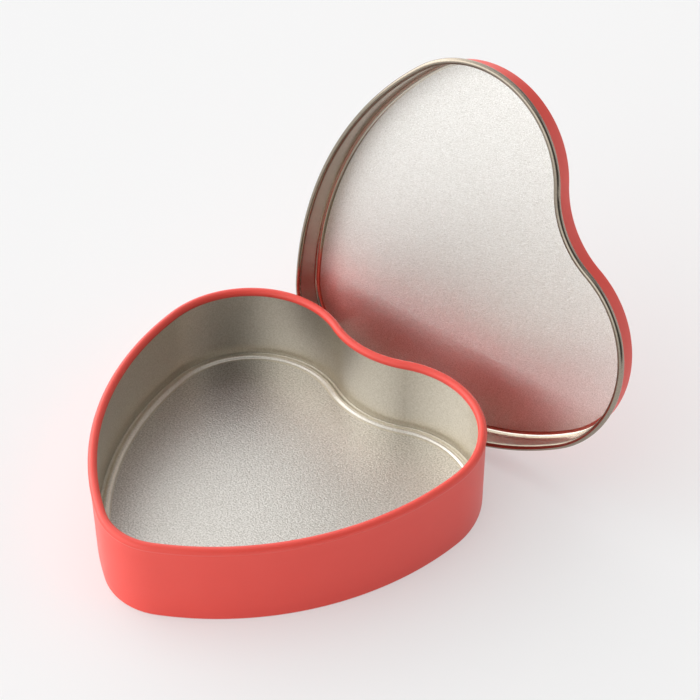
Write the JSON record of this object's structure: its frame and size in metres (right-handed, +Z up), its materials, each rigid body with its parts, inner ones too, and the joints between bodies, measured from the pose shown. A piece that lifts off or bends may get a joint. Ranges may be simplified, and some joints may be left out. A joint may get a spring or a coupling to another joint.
{
  "type": "heart-shaped tin box",
  "caption": "Heart-shaped tinplate box with a rolled rim and a pressed bottom, and its slip-on lid standing open side forward behind it.",
  "frame": {"origin": "on the table, in the middle of the ground that box and lid take up together", "axes": "+Z up from the table, +Y from the heart's tip to its cleft, +X to the right of the box as seen from its tip"},
  "size_m": [0.1432, 0.1542, 0.1215],
  "materials": {
    "coral_lacquer": "satin lacquer outside, bare tinplate inside",
    "bare_tinplate": "fine-grained bare tinplate",
    "coral_lacquer_lid": "satin lacquer outside, bare tinplate inside"
  },
  "bodies": {
    "box": {"body_wall": "coral_lacquer", "bottom_panel": "bare_tinplate"},
    "lid": {"lid": "coral_lacquer_lid"}
  },
  "joints": [
    {"name": "lid_lift", "type": "slide", "parent": "box", "child": "lid", "axis": [0, 0, 1], "range_m": [0, 0.12]}
  ]
}
